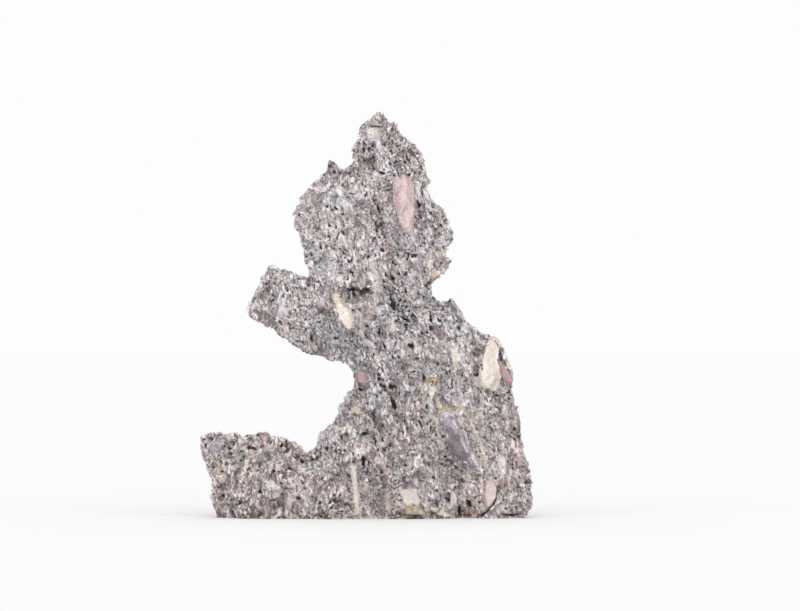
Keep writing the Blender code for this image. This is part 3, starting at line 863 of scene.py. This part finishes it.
class Nodes:
    """Short calls for building one material."""

    def __init__(self, name, roughness):
        self.material = bpy.data.materials.new(name)
        self.material.use_nodes = True
        self.tree = self.material.node_tree
        self.shader = self.tree.nodes["Principled BSDF"]
        self.shader.inputs["Roughness"].default_value = roughness

    def add(self, kind, **settings):
        node = self.tree.nodes.new(kind)
        for key, value in settings.items():
            setattr(node, key, value)
        return node

    def join(self, source, target):
        self.tree.links.new(source, target)

    def attribute(self, name, output):
        return self.add("ShaderNodeAttribute", attribute_name=name).outputs[output]

    def noise(self, scale, detail=3.0, stretch=None):
        """Noise in the stone's own space; scale is in features per metre."""
        node = self.add("ShaderNodeTexNoise")
        node.inputs["Scale"].default_value = scale
        node.inputs["Detail"].default_value = detail
        self.join(self.place(stretch), node.inputs["Vector"])
        return node.outputs["Fac"]

    def place(self, stretch=None):
        where = self.add("ShaderNodeTexCoord").outputs["Object"]
        if stretch is None:
            return where
        mapping = self.add("ShaderNodeMapping")
        mapping.inputs["Rotation"].default_value = (0, -GRAIN_TILT, 0)
        mapping.inputs["Scale"].default_value = (1, 1, 1 / stretch)
        self.join(where, mapping.inputs["Vector"])
        return mapping.outputs["Vector"]

    def spread(self, value, low, high, to_low=0.0, to_high=1.0):
        node = self.add("ShaderNodeMapRange")
        sockets = ("From Min", "From Max", "To Min", "To Max")
        for socket, number in zip(sockets, (low, high, to_low, to_high)):
            node.inputs[socket].default_value = number
        self.join(value, node.inputs["Value"])
        return node.outputs["Result"]

    def speckle(self, scale_and_detail, shades):
        """Fine grey noise between a dark and a light shade."""
        share = self.spread(self.noise(*scale_and_detail), *NOISE_RANGE)
        return self.mix(share, grey(shades[0]), grey(shades[1]))

    def math(self, operation, first, second):
        node = self.add("ShaderNodeMath", operation=operation)
        for socket, value in zip(node.inputs, (first, second)):
            if isinstance(value, (int, float)):
                socket.default_value = value
            else:
                self.join(value, socket)
        return node.outputs[0]

    def mix(self, share, first, second, blend="MIX"):
        node = self.add("ShaderNodeMix", data_type="RGBA", blend_type=blend)
        for name, value in (("Factor", share), ("A", first), ("B", second)):
            kind = "NodeSocketFloat" if name == "Factor" else "NodeSocketColor"
            socket = next(s for s in node.inputs if s.name == name and s.bl_idname.startswith(kind))
            if isinstance(value, bpy.types.NodeSocket):
                self.join(value, socket)
            elif name == "Factor":
                socket.default_value = value
            else:
                socket.default_value = (*value, 1.0)
        return next(s for s in node.outputs if s.bl_idname == "NodeSocketColor")

    def bump(self, height, distance, strength=1.0):
        node = self.add("ShaderNodeBump")
        node.inputs["Distance"].default_value = distance
        node.inputs["Strength"].default_value = strength
        self.join(height, node.inputs["Height"])
        self.join(node.outputs["Normal"], self.shader.inputs["Normal"])


def grey(value):
    return (value, value, value)


def surface_material():
    """The broken surface, with its own colours, and the faces of the pebbles."""
    nodes = Nodes("breccia_ground", GROUND_ROUGHNESS)
    depth = nodes.attribute("pebble", "Fac")
    fine = nodes.spread(nodes.noise(*FINE_FRAY), *NOISE_RANGE, *FINE_FRAY_DEPTHS)
    wide = nodes.spread(nodes.noise(*WIDE_FRAY), *WIDE_FRAY_RANGE, *WIDE_FRAY_DEPTHS)
    frayed = nodes.math("ADD", nodes.math("ADD", depth, fine), wide)
    on_pebble = nodes.spread(frayed, 0.0, FRAYED_RIM)
    speckle = nodes.speckle(GROUND_SPECKLE, GROUND_SHADES)
    ground = nodes.mix(1.0, nodes.attribute("ground", "Color"), speckle, "MULTIPLY")
    streaks = nodes.spread(nodes.noise(*PEBBLE_STREAKS), *STREAK_RANGE, *STREAK_SHARES)
    # Paler deeper inside the pebble: its own paler core and a painted highlight
    pale = nodes.math("ADD", streaks, nodes.spread(depth, *PALE_CORE_AND_HIGHLIGHT_DEPTHS, 0.0, PALE_CORE_AND_HIGHLIGHT))
    pale = nodes.spread(pale, 0.0, 1.0)
    face = nodes.mix(pale, nodes.attribute("tint", "Color"), nodes.attribute("streak", "Color"))
    speckle = nodes.speckle(PEBBLE_SPECKLE, PEBBLE_SHADES)
    face = nodes.mix(1.0, face, speckle, "MULTIPLY")
    nodes.join(nodes.mix(on_pebble, ground, face), nodes.shader.inputs["Base Color"])
    nodes.bump(nodes.noise(*GROUND_BUMP), GROUND_BUMP_HEIGHT)
    return nodes.material


def splinter_material():
    """The loose splinters: each has its own colour, faintly mottled."""
    nodes = Nodes("breccia_splinters", SPLINTER_ROUGHNESS)
    speckle = nodes.speckle(SPLINTER_SPECKLE, SPLINTER_SHADES)
    colour = nodes.mix(1.0, nodes.attribute("tint", "Color"), speckle, "MULTIPLY")
    nodes.join(colour, nodes.shader.inputs["Base Color"])
    nodes.bump(nodes.noise(*SPLINTER_BUMP), SPLINTER_BUMP_HEIGHT)
    return nodes.material


def studio():
    bpy.ops.mesh.primitive_circle_add(vertices=96, radius=FLOOR_RADIUS, fill_type="NGON")
    floor = bpy.context.object
    floor.name = "floor"
    paper = bpy.data.materials.new("floor_paper")
    paper.use_nodes = True
    shader = paper.node_tree.nodes["Principled BSDF"]
    shader.inputs["Base Color"].default_value = (*grey(FLOOR_WHITE), 1)
    shader.inputs["Roughness"].default_value = 1.0
    shader.inputs["Specular IOR Level"].default_value = 0.0
    floor.data.materials.append(paper)
    world = bpy.data.worlds.new("studio")
    world.use_nodes = True
    world.node_tree.nodes["Background"].inputs["Color"].default_value = (*grey(SKY_WHITE), 1)
    bpy.context.scene.world = world
    for name, (side, strength) in LIGHTS.items():
        light = bpy.data.lights.new(name, "SUN")
        light.energy = strength
        light.angle = LIGHT_SPREAD
        lamp = new_object(name, light)
        lamp.rotation_mode = "QUATERNION"
        lamp.rotation_quaternion = Vector(side).to_track_quat("Z", "Y")
    bpy.context.scene.view_settings.view_transform = "Standard"


def camera():
    data = bpy.data.cameras.new("camera")
    data.sensor_width = SENSOR
    data.lens = SENSOR * CAMERA_DISTANCE / FRAME_WIDTH
    obj = new_object("camera", data)
    back = Vector((0, -math.cos(CAMERA_PITCH), math.sin(CAMERA_PITCH)))
    obj.location = (AIM + back * CAMERA_DISTANCE) * MM
    obj.rotation_mode = "QUATERNION"
    obj.rotation_quaternion = (-back).to_track_quat("-Z", "Y")
    bpy.context.scene.camera = obj


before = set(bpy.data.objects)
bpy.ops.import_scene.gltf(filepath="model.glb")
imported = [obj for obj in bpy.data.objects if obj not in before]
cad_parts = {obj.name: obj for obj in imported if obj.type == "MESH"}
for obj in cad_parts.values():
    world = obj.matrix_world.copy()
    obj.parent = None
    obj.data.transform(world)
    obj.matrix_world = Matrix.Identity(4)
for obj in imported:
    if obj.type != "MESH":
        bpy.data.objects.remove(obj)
CAD_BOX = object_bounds()
rng = np.random.default_rng(SEED)
noise.seed_set(SEED)
small = scattered_pebbles(SMALL_PEBBLES, SMALL_SMALLEST, SMALL_LARGEST, rng)
back = scattered_pebbles(BACK_PEBBLES, BACK_SMALLEST, BACK_LARGEST, rng)
sides = [Face(-1, small + PEBBLES, HOLES, STAINS, PITTED), Face(1, small + back)]
patches, *surface = rock_surface(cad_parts["rock"].data, sides)
loose = loose_splinters(surface, sides, rng)
for pieces, look in ((patches, surface_material()), (loose, splinter_material())):
    for piece in pieces:
        piece.data.materials.append(look)
        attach(piece, "root")
for patch in patches:
    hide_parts("rock")
studio()
camera()
